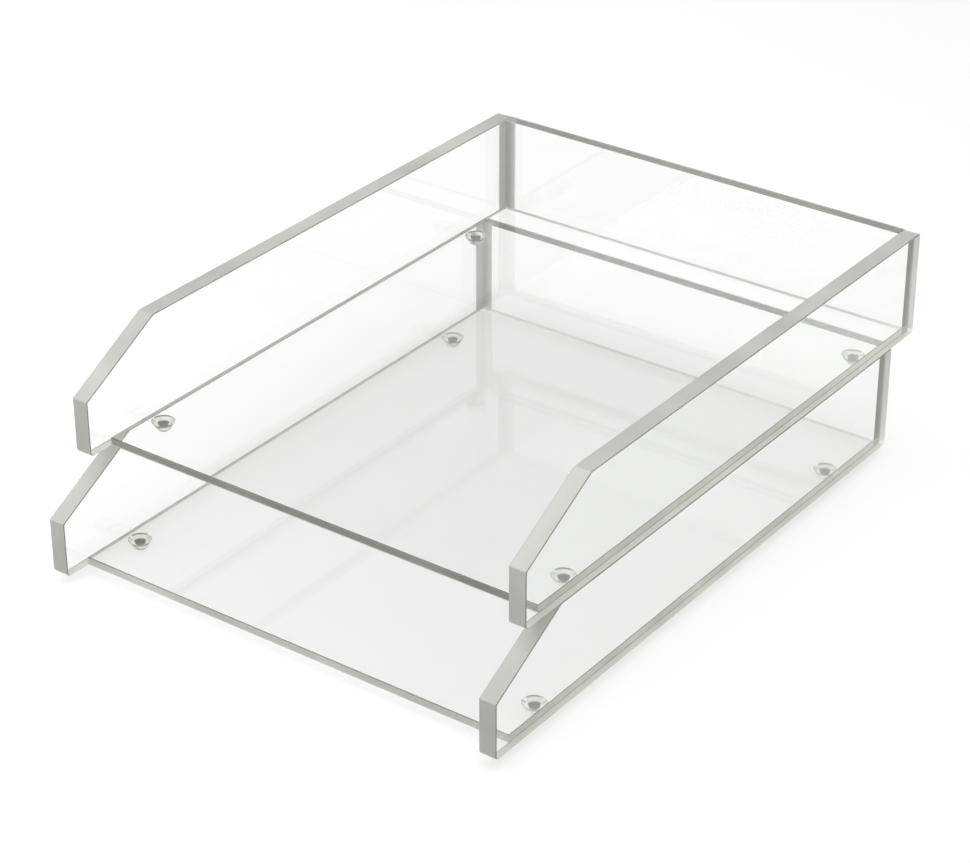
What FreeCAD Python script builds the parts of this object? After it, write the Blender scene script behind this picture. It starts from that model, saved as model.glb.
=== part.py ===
"""Pair of clear acrylic letter trays, one stacked on the other.

Each tray is cut from flat cast sheet and cemented: two thick side panels with a slanted
front corner, a thinner back panel between them, and a bottom plate between all three.
Four clear dome bumpers under the plate carry the tray, and inside the tray below they
keep the stacked tray from sliding off sideways. All lengths are millimetres.

Row frame: X across the trays, Y from the open front to the back, Z up, with the origin
on the supporting surface, in the middle of the stack's outline.
"""
import FreeCAD, Part
import math
import os
from FreeCAD import Vector

# Outside of one tray
tray_width = 266.7  # over both side panels
tray_depth = 349.25  # front edge to back edge of a side panel
panel_height = 57.15  # side and back panels, bottom edge to top edge

# Sheet
side_thickness = 9.5
back_thickness = 6.35
plate_thickness = 4.5
glue_line = 0.05  # cement between two sheets, and adhesive over a bumper

# Side panel's front corner
front_height = 30.0  # upright front edge, up to the foot of the slant
slant_run = 49.5  # front edge back to the top of the slant

# Finished edges
corner_radius = 1.0  # front, top and back corners of the side panel's outline
foot_radius = 2.5  # the outline's two bottom corners
edge_bevel = 0.4  # sharp edges taken off before polishing

# Bottom plate
plate_recess = 14.5  # plate's front edge behind the side panels' front edges

# Dome bumpers
bumper_radius = 6.0  # rim against the plate
bumper_height = 5.0  # plate's underside to the desk
bumper_flat_radius = 2.6  # flat on the crown, where it stands
bumper_draft = 28.0  # degrees that the skirt leans in from upright
bumper_side_gap = 1.0  # bumper's rim to the side panel's inner face
bumper_inset = 44.5  # bumper's centre from the side panels' front or back edges

# Stack
set_back = 22.0  # upper tray's front edges behind the lower tray's
resting_gap = 0.05  # air left where the upper tray's edges rest on the lower tray's

# Derived places
side_inner_x = tray_width / 2 - side_thickness
back_inner_y = tray_depth - back_thickness
sheet_half_width = side_inner_x - glue_line
bumper_x = side_inner_x - bumper_side_gap - bumper_radius
stack_front_y = -(tray_depth + set_back) / 2


def box(low, high):
    """Return the box between two corners."""
    size = high - low
    return Part.makeBox(size.x, size.y, size.z, low)


def near(a, b):
    """Tell whether two lengths are the same, but for rounding."""
    rounding = 1e-4
    return abs(a - b) < rounding


def along_x(edge):
    """Tell whether an edge runs straight along X."""
    return near(edge.BoundBox.YLength, 0) and near(edge.BoundBox.ZLength, 0)


def bevelled(solid, wanted):
    """Take the sharp edges that the test picks off a sheet."""
    return solid.makeChamfer(edge_bevel, [edge for edge in solid.Edges if wanted(edge)])


def side_panel(low_x):
    """Extrude the side outline from its left face, round its corners and bevel both faces."""
    outline = [(0, 0), (tray_depth, 0), (tray_depth, panel_height),
               (slant_run, panel_height), (0, front_height)]
    points = [Vector(low_x, y, z) for y, z in outline]
    face = Part.Face(Part.makePolygon(points + points[:1]))
    panel = face.extrude(Vector(side_thickness, 0, 0))
    for radius, at_foot in ((corner_radius, False), (foot_radius, True)):
        corners = [edge for edge in panel.Edges
                   if along_x(edge) and near(edge.BoundBox.ZMax, 0) == at_foot]
        panel = panel.makeFillet(radius, corners)
    for face_x in (low_x, low_x + side_thickness):

        def around_face(edge):
            return near(edge.BoundBox.XMin, face_x) and near(edge.BoundBox.XMax, face_x)
        panel = bevelled(panel, around_face)
    return panel


def back_panel():
    """Cut the back panel to stand between the side panels, flush with their back edges."""
    panel = box(Vector(-sheet_half_width, back_inner_y, 0),
                Vector(sheet_half_width, tray_depth, panel_height))

    def on_top(edge):
        return along_x(edge) and near(edge.BoundBox.ZMin, panel_height)
    return bevelled(panel, on_top)


def bottom_plate():
    """Cut the plate to lie between the side panels, up against the back panel."""
    plate = box(Vector(-sheet_half_width, plate_recess, 0),
                Vector(sheet_half_width, back_inner_y - glue_line, plate_thickness))

    def at_front(edge):
        return along_x(edge) and near(edge.BoundBox.YMin, plate_recess)
    return bevelled(plate, at_front)


def bumper(x, y):
    """Turn a bumper whose drafted skirt runs on into a round crown, with a flat on its tip.

    The crown's centre is rise above the flat, and its radius follows from the flat's radius:
    radius**2 = rise**2 + flat**2. It meets the skirt without a corner where the radius is also
    reach + rise * sin(draft), so rise is the positive root of those two equations.
    """
    draft = math.radians(bumper_draft)
    rim_z = -glue_line
    reach = bumper_radius * math.cos(draft) - (bumper_height + rim_z) * math.sin(draft)
    root = math.sqrt(reach**2 - (bumper_flat_radius * math.cos(draft))**2)
    rise = (reach * math.sin(draft) + root) / math.cos(draft)**2
    crown_radius = math.hypot(rise, bumper_flat_radius)

    def on_crown(angle):
        """Return the crown's point at an angle below its centre's level."""
        return Vector(crown_radius * math.cos(angle), 0,
                      rise - bumper_height - crown_radius * math.sin(angle))

    tip_angle = math.acos(bumper_flat_radius / crown_radius)
    shoulder, middle, tip = (on_crown(draft + (tip_angle - draft) * share)
                             for share in (0, 0.5, 1))
    rim = [Vector(0, 0, rim_z), Vector(bumper_radius, 0, rim_z), shoulder]
    axis = [tip, Vector(0, 0, tip.z), rim[0]]
    edges = Part.makePolygon(rim).Edges + [Part.Arc(shoulder, middle, tip).toShape()]
    profile = Part.Wire(edges + Part.makePolygon(axis).Edges)
    dome = Part.Face(profile).revolve(Vector(0, 0, 0), Vector(0, 0, 1), 360)
    dome.translate(Vector(x, y, 0))
    return dome


def tray():
    """Return one tray's pieces by name, with front edges at Y 0 and bottom edges at Z 0."""
    pieces = {
        "bottom_plate": bottom_plate(),
        "back_panel": back_panel(),
        "left_side": side_panel(-tray_width / 2),
        "right_side": side_panel(side_inner_x),
    }
    for side, x in (("left", -bumper_x), ("right", bumper_x)):
        for end, y in (("front", bumper_inset), ("back", tray_depth - bumper_inset)):
            pieces[f"bumper_{end}_{side}"] = bumper(x, y)
    return pieces


def export_stack():
    """Stand the lower tray on its bumpers, rest the upper one on its panels, and export."""
    os.makedirs("parts", exist_ok=True)
    places = {
        "lower": Vector(0, stack_front_y, bumper_height),
        "upper": Vector(0, stack_front_y + set_back,
                        bumper_height + panel_height + resting_gap),
    }
    for name, place in places.items():
        for piece, shape in tray().items():
            shape.translate(place)
            shape.exportStep(f"parts/{name}_{piece}.step")


export_stack()
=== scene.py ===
"""Two clear acrylic letter trays, one stacked on the other, on a white table."""
import math

import bpy
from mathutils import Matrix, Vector


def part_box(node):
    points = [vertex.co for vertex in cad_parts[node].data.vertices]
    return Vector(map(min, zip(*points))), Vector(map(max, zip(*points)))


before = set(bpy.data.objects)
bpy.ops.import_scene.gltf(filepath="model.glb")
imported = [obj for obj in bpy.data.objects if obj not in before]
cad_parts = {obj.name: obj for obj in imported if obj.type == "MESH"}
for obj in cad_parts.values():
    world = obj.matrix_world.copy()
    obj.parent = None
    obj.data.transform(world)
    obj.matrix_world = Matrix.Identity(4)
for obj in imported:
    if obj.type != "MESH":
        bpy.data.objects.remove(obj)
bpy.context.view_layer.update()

# ---------------------------------------------------------------- side panels
# Thick clear cast acrylic, sawn to the slanted outline. The broad faces keep the gloss of the
# sheet. The cut edges are sanded and flame-polished, so they stay pale and a little cloudy.
trays = ("lower", "upper")


def add_node(material, kind, **values):
    """Add a shader node, set its properties by name, and return it."""
    node = material.node_tree.nodes.new(kind)
    for name, value in values.items():
        setattr(node, name, value)
    return node


def link(material, output, target):
    """Join one node's output to another's input."""
    material.node_tree.links.new(output, target)


def noise(material, coordinates, scale, detail):
    """Return the value of a noise pattern over the given coordinates."""
    pattern = add_node(material, "ShaderNodeTexNoise")
    pattern.inputs["Scale"].default_value = scale
    pattern.inputs["Detail"].default_value = detail
    link(material, coordinates, pattern.inputs["Vector"])
    return pattern.outputs["Fac"]


def remap(material, value, old, new):
    """Map a value from the old range to the new one, kept within it."""
    node = add_node(material, "ShaderNodeMapRange")
    for name, number in zip(("From Min", "From Max", "To Min", "To Max"), old + new):
        node.inputs[name].default_value = number
    link(material, value, node.inputs["Value"])
    return node.outputs["Result"]


def blend(material, share, first, second):
    """Mix two values by a share, where each may be a number or another node's output."""
    node = add_node(material, "ShaderNodeMix")
    for name, value in (("Factor", share), ("A", first), ("B", second)):
        if isinstance(value, bpy.types.NodeSocket):
            link(material, value, node.inputs[name])
        else:
            node.inputs[name].default_value = value
    return node.outputs["Result"]


def absolute(material, value):
    """Return the absolute of a value."""
    node = add_node(material, "ShaderNodeMath", operation="ABSOLUTE")
    link(material, value, node.inputs[0])
    return node.outputs["Value"]


def combine(material, operation, first, second):
    """Return the two values combined by an operation."""
    node = add_node(material, "ShaderNodeMath", operation=operation)
    link(material, first, node.inputs[0])
    link(material, second, node.inputs[1])
    return node.outputs["Value"]


def mix_colours(material, share, first, second):
    """Mix two colours by a share, where each colour may be a constant or a node's output."""
    node = add_node(material, "ShaderNodeMix", data_type="RGBA")
    link(material, share, node.inputs["Factor"])
    for name, value in (("A", first), ("B", second)):
        if isinstance(value, bpy.types.NodeSocket):
            link(material, value, node.inputs[name])
        else:
            node.inputs[name].default_value = value
    return node.outputs["Result"]


def near_upright(material, coordinates, foot):
    """Return 1 close to the upright line over foot, and 0 away from it.

    The distance is the length of the level part of the coordinates' offset from foot.
    """
    hazy_within, clear_beyond = 0.0058, 0.0070
    offset = add_node(material, "ShaderNodeVectorMath", operation="SUBTRACT")
    link(material, coordinates, offset.inputs[0])
    offset.inputs[1].default_value = foot
    level = add_node(material, "ShaderNodeVectorMath", operation="MULTIPLY")
    link(material, offset.outputs["Vector"], level.inputs[0])
    level.inputs[1].default_value = (1.0, 1.0, 0.0)
    distance = add_node(material, "ShaderNodeVectorMath", operation="LENGTH")
    link(material, level.outputs["Vector"], distance.inputs[0])
    return remap(material, distance.outputs["Value"], (clear_beyond, hazy_within), (0.0, 1.0))


def sheet_material(name, sheet_axis, outer_box, tints, corner=None):
    """Make clear acrylic sheet: glossy across sheet_axis, with satin and paler cut edges.

    A surface is a cut edge where its normal turns away from sheet_axis, and a bevel half-way. The
    bevel is painted dark, a painted reflection.
    Of tints, edge is for edges in plain view. Edges below and on cemented ends take joint, and
    those behind take rear, because they are seen through the sheet. Over the top of a cemented
    plate runs a line of cement. The sheet is hazy near an upright corner, if one is given.
    """
    base_z, rear_y = outer_box[0][2], outer_box[1][1]
    face_tint = (0.985, 0.990, 0.985, 1.0)
    # Painted reflection: the bevel tint paints a thin dark line along each bevel of the clear
    # sheet.
    bevel_painted_reflection = (0.18, 0.19, 0.14, 1.0)
    haze_tint = (0.50, 0.505, 0.48, 1.0)
    haze_clear, haze_rough = 0.40, 0.32
    off_to_on = (0.0, 1.0)
    cloud_range = (0.2, 0.8)

    material = bpy.data.materials.new(name)
    material.use_nodes = True
    shader = material.node_tree.nodes["Principled BSDF"]
    shader.inputs["IOR"].default_value = 1.49
    place = add_node(material, "ShaderNodeTexCoord")
    point = add_node(material, "ShaderNodeSeparateXYZ")
    link(material, place.outputs["Object"], point.inputs[0])
    normal = add_node(material, "ShaderNodeSeparateXYZ")
    link(material, place.outputs["Normal"], normal.inputs[0])
    across = add_node(material, "ShaderNodeVectorMath", operation="DOT_PRODUCT")
    across.inputs[1].default_value = sheet_axis
    link(material, place.outputs["Normal"], across.inputs[0])
    facing = absolute(material, across.outputs["Value"])
    cut = remap(material, facing, (0.95, 0.60), off_to_on)

    saw_marks = noise(material, place.outputs["Object"], 90.0, 3.0)
    cloud = noise(material, place.outputs["Object"], 26.0, 2.0)
    smudge = noise(material, place.outputs["Object"], 9.0, 3.0)

    # Tints: edge, bevel (a painted dark reflection) and face by the way the surface faces, then
    # what the sheet covers
    tint = add_node(material, "ShaderNodeValToRGB")
    stops = tint.color_ramp.elements
    stops[0].position, stops[0].color = 0.45, tints["edge"]
    stops[1].position, stops[1].color = 0.97, face_tint
    stops.new(0.72).color = bevel_painted_reflection
    link(material, facing, tint.inputs["Fac"])
    lowest = remap(material, point.outputs["Z"], (base_z + 0.0010, base_z + 0.0004), off_to_on)
    sideways = remap(material, absolute(material, normal.outputs["X"]), (0.6, 0.9), off_to_on)
    covered = combine(material, "MULTIPLY", combine(material, "MAXIMUM", lowest, sideways), cut)
    rearmost = remap(material, point.outputs["Y"], (rear_y - 0.0020, rear_y - 0.0004), off_to_on)
    behind = combine(material, "MULTIPLY", rearmost, cut)
    in_cement = remap(material, point.outputs["Z"], (base_z + 0.0037, base_z + 0.0042), off_to_on)
    joint = mix_colours(material, in_cement, tints["joint"], tints["cement"])
    colour = mix_colours(material, covered, tint.outputs["Color"], joint)
    colour = mix_colours(material, behind, colour, tints["rear"])

    clear = blend(material, cut, 1.0, remap(material, cloud, cloud_range, (0.30, 0.16)))
    rough = blend(material, cut, remap(material, smudge, (0.4, 0.7), (0.002, 0.012)),
                  remap(material, saw_marks, cloud_range, (0.30, 0.38)))
    if corner:
        haze = near_upright(material, place.outputs["Object"], corner)
        colour = mix_colours(material, haze, colour, haze_tint)
        clear = blend(material, haze, clear, haze_clear)
        rough = blend(material, haze, rough, haze_rough)

    # Cut edges are cloudy in patches
    level = remap(material, cloud, cloud_range, (0.76, 1.04))
    shade = add_node(material, "ShaderNodeCombineColor")
    for channel in ("Red", "Green", "Blue"):
        link(material, level, shade.inputs[channel])
    worn = add_node(material, "ShaderNodeMix", data_type="RGBA", blend_type="MULTIPLY")
    link(material, cut, worn.inputs["Factor"])
    link(material, colour, worn.inputs["A"])
    link(material, shade.outputs["Color"], worn.inputs["B"])
    link(material, worn.outputs["Result"], shader.inputs["Base Color"])
    link(material, clear, shader.inputs["Transmission Weight"])
    link(material, rough, shader.inputs["Roughness"])
    return material


def finish(node, material):
    """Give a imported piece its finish."""
    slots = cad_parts[node].data.materials
    slots.clear()
    slots.append(material)


def back_left_corner(tray):
    """Return the foot of the line where the left side panel meets the back panel inside."""
    return (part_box(f"{tray}_left_side")[1][0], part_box(f"{tray}_back_panel")[0][1], 0.0)


side_tints = {
    "edge": (0.52, 0.525, 0.49, 1.0),
    "joint": (0.70, 0.70, 0.62, 1.0),
    "cement": (0.70, 0.70, 0.62, 1.0),
    "rear": (0.97, 0.975, 0.93, 1.0),
}
for tray in trays:
    side_sheet = sheet_material(f"{tray}_side_sheet", (1, 0, 0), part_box(f"{tray}_left_side"),
                                side_tints, back_left_corner(tray))
    finish(f"{tray}_left_side", side_sheet)
    finish(f"{tray}_right_side", side_sheet)

# ---------------------------------------------------------------- back panels
# Thinner sheet of the same clear acrylic, sawn straight, with its top edge polished. It stands
# on edge between the side panels' back ends and is cemented to them.
dark_cement = (0.16, 0.17, 0.12, 1.0)
back_tints = {
    "edge": (0.30, 0.305, 0.28, 1.0),
    "joint": (0.55, 0.55, 0.50, 1.0),
    "cement": dark_cement,
    "rear": (0.55, 0.55, 0.50, 1.0),
}
for tray in trays:
    back_sheet = sheet_material(f"{tray}_back_sheet", (0, 1, 0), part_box(f"{tray}_back_panel"),
                                back_tints, back_left_corner(tray))
    finish(f"{tray}_back_panel", back_sheet)

# ---------------------------------------------------------------- bottom plates
# Still thinner sheet of clear acrylic, cemented between the other three panels, level with
# their lower edges. Only its front edge is open to view. The upper tray's is painted darker, a
# painted reflection of dark contents that are not modelled.
plate_edge_tones_and_painted_reflection = {"lower": (0.76, 0.765, 0.71, 1.0), "upper": (0.33, 0.335, 0.30, 1.0)}
for tray in trays:
    plate_tints = {
        "edge": plate_edge_tones_and_painted_reflection[tray],
        "joint": (0.96, 0.96, 0.86, 1.0),
        "cement": dark_cement,
        "rear": (0.96, 0.96, 0.86, 1.0),
    }
    plate_sheet = sheet_material(f"{tray}_plate_sheet", (0, 0, 1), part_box(f"{tray}_bottom_plate"),
                                 plate_tints)
    finish(f"{tray}_bottom_plate", plate_sheet)

# ---------------------------------------------------------------- bumpers
# Soft domes of clear polyurethane, poured and cured to shape. Each sticks to the underside of
# a bottom plate by its own adhesive and stands on the small flat at its tip.


def bumper_material(name, tip_z):
    """Make clear soft plastic with a hazy skin, tinted by the height above the bumper's tip.

    The flat on the tip and the crown are painted near black, and the skirt is painted dark just
    under the rim: painted shade. The face with the adhesive is pale. The faces that touch something
    hardly mirror anything.
    """
    height = 0.005
    # Painted shade: the near-black tints on the tip's flat, the crown and the skirt just under the
    # rim.
    flat_painted_shade = (0.0004, 0.0006, 0.0001, 1.0)
    crown_painted_shade = (0.020, 0.025, 0.008, 1.0)
    clear_tint = (0.82, 0.83, 0.74, 1.0)
    rim_painted_shade = (0.025, 0.030, 0.012, 1.0)
    glued_tint = (0.90, 0.91, 0.84, 1.0)
    full_mirror, faint_mirror = (1.0, 1.0, 1.0, 1.0), (0.06, 0.06, 0.06, 1.0)
    material = bpy.data.materials.new(name)
    material.use_nodes = True
    shader = material.node_tree.nodes["Principled BSDF"]
    shader.inputs["IOR"].default_value = 1.50
    place = add_node(material, "ShaderNodeTexCoord")
    point = add_node(material, "ShaderNodeSeparateXYZ")
    link(material, place.outputs["Object"], point.inputs[0])
    rise = remap(material, point.outputs["Z"], (tip_z, tip_z + height), (0.0, 1.0))
    tint = add_node(material, "ShaderNodeValToRGB")
    stops = tint.color_ramp.elements
    stops[0].position, stops[0].color = 0.02, flat_painted_shade
    stops[1].position, stops[1].color = 0.985, glued_tint
    for position, colour in ((0.10, crown_painted_shade), (0.24, clear_tint), (0.66, clear_tint),
                             (0.80, rim_painted_shade), (0.955, rim_painted_shade)):
        stops.new(position).color = colour
    link(material, rise, tint.inputs["Fac"])
    glued = remap(material, rise, (0.97, 0.985), (0.0, 1.0))
    standing = remap(material, rise, (0.06, 0.03), (0.0, 1.0))
    touching = combine(material, "MAXIMUM", glued, standing)
    mirror = mix_colours(material, touching, full_mirror, faint_mirror)
    link(material, mirror, shader.inputs["Specular Tint"])
    link(material, tint.outputs["Color"], shader.inputs["Base Color"])
    shader.inputs["Transmission Weight"].default_value = 1.0
    skin = noise(material, place.outputs["Object"], 420.0, 2.0)
    rough = remap(material, skin, (0.3, 0.7), (0.04, 0.10))
    link(material, rough, shader.inputs["Roughness"])
    return material


for tray in trays:
    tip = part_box(f"{tray}_bumper_front_left")[0][2]
    bumper_finish = bumper_material(f"{tray}_bumper", tip)
    for end in ("front", "back"):
        for side in ("left", "right"):
            finish(f"{tray}_bumper_{end}_{side}", bumper_finish)

# ---------------------------------------------------------------- table
# A plain matt white table top, painted board. It is stage, not part of the stack, and the
# bumpers stand on it. The eye sees it white, also through the acrylic.


def ray_strength(tree, strengths):
    """Return the strength listed for the kind of ray that arrives, or 0 for any other kind."""
    rays = tree.nodes.new("ShaderNodeLightPath")
    total = None
    for kind, strength in strengths.items():
        share = tree.nodes.new("ShaderNodeMath")
        share.operation = "MULTIPLY"
        share.inputs[1].default_value = strength
        tree.links.new(rays.outputs[kind], share.inputs[0])
        if total is None:
            total = share.outputs["Value"]
            continue
        larger = tree.nodes.new("ShaderNodeMath")
        larger.operation = "MAXIMUM"
        tree.links.new(total, larger.inputs[0])
        tree.links.new(share.outputs["Value"], larger.inputs[1])
        total = larger.outputs["Value"]
    return total


def table_material():
    """Make matt white, which is seen brighter than the lamps alone would make it."""
    material = bpy.data.materials.new("white_table")
    material.use_nodes = True
    shader = material.node_tree.nodes["Principled BSDF"]
    shader.inputs["Base Color"].default_value = (0.55, 0.55, 0.55, 1.0)
    shader.inputs["Roughness"].default_value = 0.8
    shader.inputs["Specular IOR Level"].default_value = 0.0
    shader.inputs["Emission Color"].default_value = (1.0, 1.0, 1.0, 1.0)
    extra = {"Is Camera Ray": 0.39, "Is Glossy Ray": 0.34, "Is Transmission Ray": 0.23}
    lit_radius, far_radius, far_gain = 0.8, 3.0, 1.9
    place = add_node(material, "ShaderNodeTexCoord")
    away = add_node(material, "ShaderNodeVectorMath", operation="LENGTH")
    link(material, place.outputs["Object"], away.inputs[0])
    beyond_lamps = remap(material, away.outputs["Value"], (lit_radius, far_radius),
                         (1.0, far_gain))
    strength = combine(material, "MULTIPLY", ray_strength(material.node_tree, extra), beyond_lamps)
    link(material, strength, shader.inputs["Emission Strength"])
    return material


reach = 6.0
clear_of_feet = 0.0001
corners = [(x * reach, y * reach, -clear_of_feet) for x, y in ((-1, -1), (1, -1), (1, 1), (-1, 1))]
table_mesh = bpy.data.meshes.new("table")
table_mesh.from_pydata(corners, [], [(0, 1, 2, 3)])
table_mesh.materials.append(table_material())
table = bpy.data.objects.new("table", table_mesh)
bpy.context.scene.collection.objects.link(table)

# ---------------------------------------------------------------- light
# A pale studio all round, brighter near the horizon, with three soft square lamps. Two hang to
# the left and cast no shadow, and the large one overhead casts the soft one.
world = bpy.data.worlds.new("studio")
bpy.context.scene.world = world
world.use_nodes = True
sky_nodes, sky_links = world.node_tree.nodes, world.node_tree.links
direction = sky_nodes.new("ShaderNodeTexCoord")
height = sky_nodes.new("ShaderNodeSeparateXYZ")
sky_links.new(direction.outputs["Generated"], height.inputs[0])
sky = sky_nodes.new("ShaderNodeValToRGB")
sky_links.new(height.outputs["Z"], sky.inputs["Fac"])
at_horizon, overhead = sky.color_ramp.elements
at_horizon.color = (0.90, 0.90, 0.90, 1.0)
overhead.color = (0.50, 0.50, 0.50, 1.0)
overhead.position = 0.5
seen = sky_nodes.new("ShaderNodeMix")
seen.data_type = "RGBA"
seen.inputs["B"].default_value = (1.0, 1.0, 1.0, 1.0)
white_for = ray_strength(world.node_tree, {"Is Camera Ray": 1.0, "Is Transmission Ray": 0.85})
sky_links.new(white_for, seen.inputs["Factor"])
sky_links.new(sky.outputs["Color"], seen.inputs["A"])
sky_links.new(seen.outputs["Result"], sky_nodes["Background"].inputs["Color"])


def softbox(name, place, size, power, casts_shadow):
    """Hang a square lamp that faces the middle of the table and isn't seen through the trays."""
    light = bpy.data.lights.new(name, "AREA")
    light.energy = power
    light.size = size
    light.use_shadow = casts_shadow
    lamp = bpy.data.objects.new(name, light)
    lamp.location = place
    lamp.rotation_euler = (-Vector(place)).to_track_quat("-Z", "Y").to_euler()
    lamp.visible_transmission = False
    bpy.context.scene.collection.objects.link(lamp)


softbox("key", (-0.9, -1.1, 1.2), 1.0, 13, False)
softbox("overhead", (-0.95, -0.05, 1.75), 0.8, 9, False)
softbox("ceiling", (0.1, 0.1, 2.0), 2.0, 15, True)

# ---------------------------------------------------------------- camera
# It looks down at the stack's front and right side, with a long lens. The aim is set from the
# middle of the upper tray, then moved a little in the picture's own plane.
view_azimuth = math.radians(36.05)
view_elevation = math.radians(29.48)
view_distance = 1.43994
image_width = 970
focal_pixels = 2867.08
sensor_width = 36
right = Vector((math.cos(view_azimuth), math.sin(view_azimuth), 0))
back = Vector((math.sin(view_azimuth) * math.cos(view_elevation),
               -math.cos(view_azimuth) * math.cos(view_elevation), math.sin(view_elevation)))
up = back.cross(right)
upper_front_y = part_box("upper_left_side")[0][1]
upper_base_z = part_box("upper_left_side")[0][2]
aim_depth, aim_left, aim_down = 0.170, 0.01008, 0.01913
aim = Vector((0, upper_front_y + aim_depth, upper_base_z)) - right * aim_left - up * aim_down
camera_data = bpy.data.cameras.new("camera")
camera_data.sensor_width = sensor_width
camera_data.lens = focal_pixels * sensor_width / image_width
camera = bpy.data.objects.new("camera", camera_data)
camera.location = aim + back * view_distance
camera.rotation_euler = (-back).to_track_quat("-Z", "Y").to_euler()
bpy.context.scene.collection.objects.link(camera)

scene = bpy.context.scene
scene.camera = camera
scene.view_settings.view_transform = "Standard"
scene.cycles.max_bounces = 32
scene.cycles.transmission_bounces = 32
scene.cycles.glossy_bounces = 12
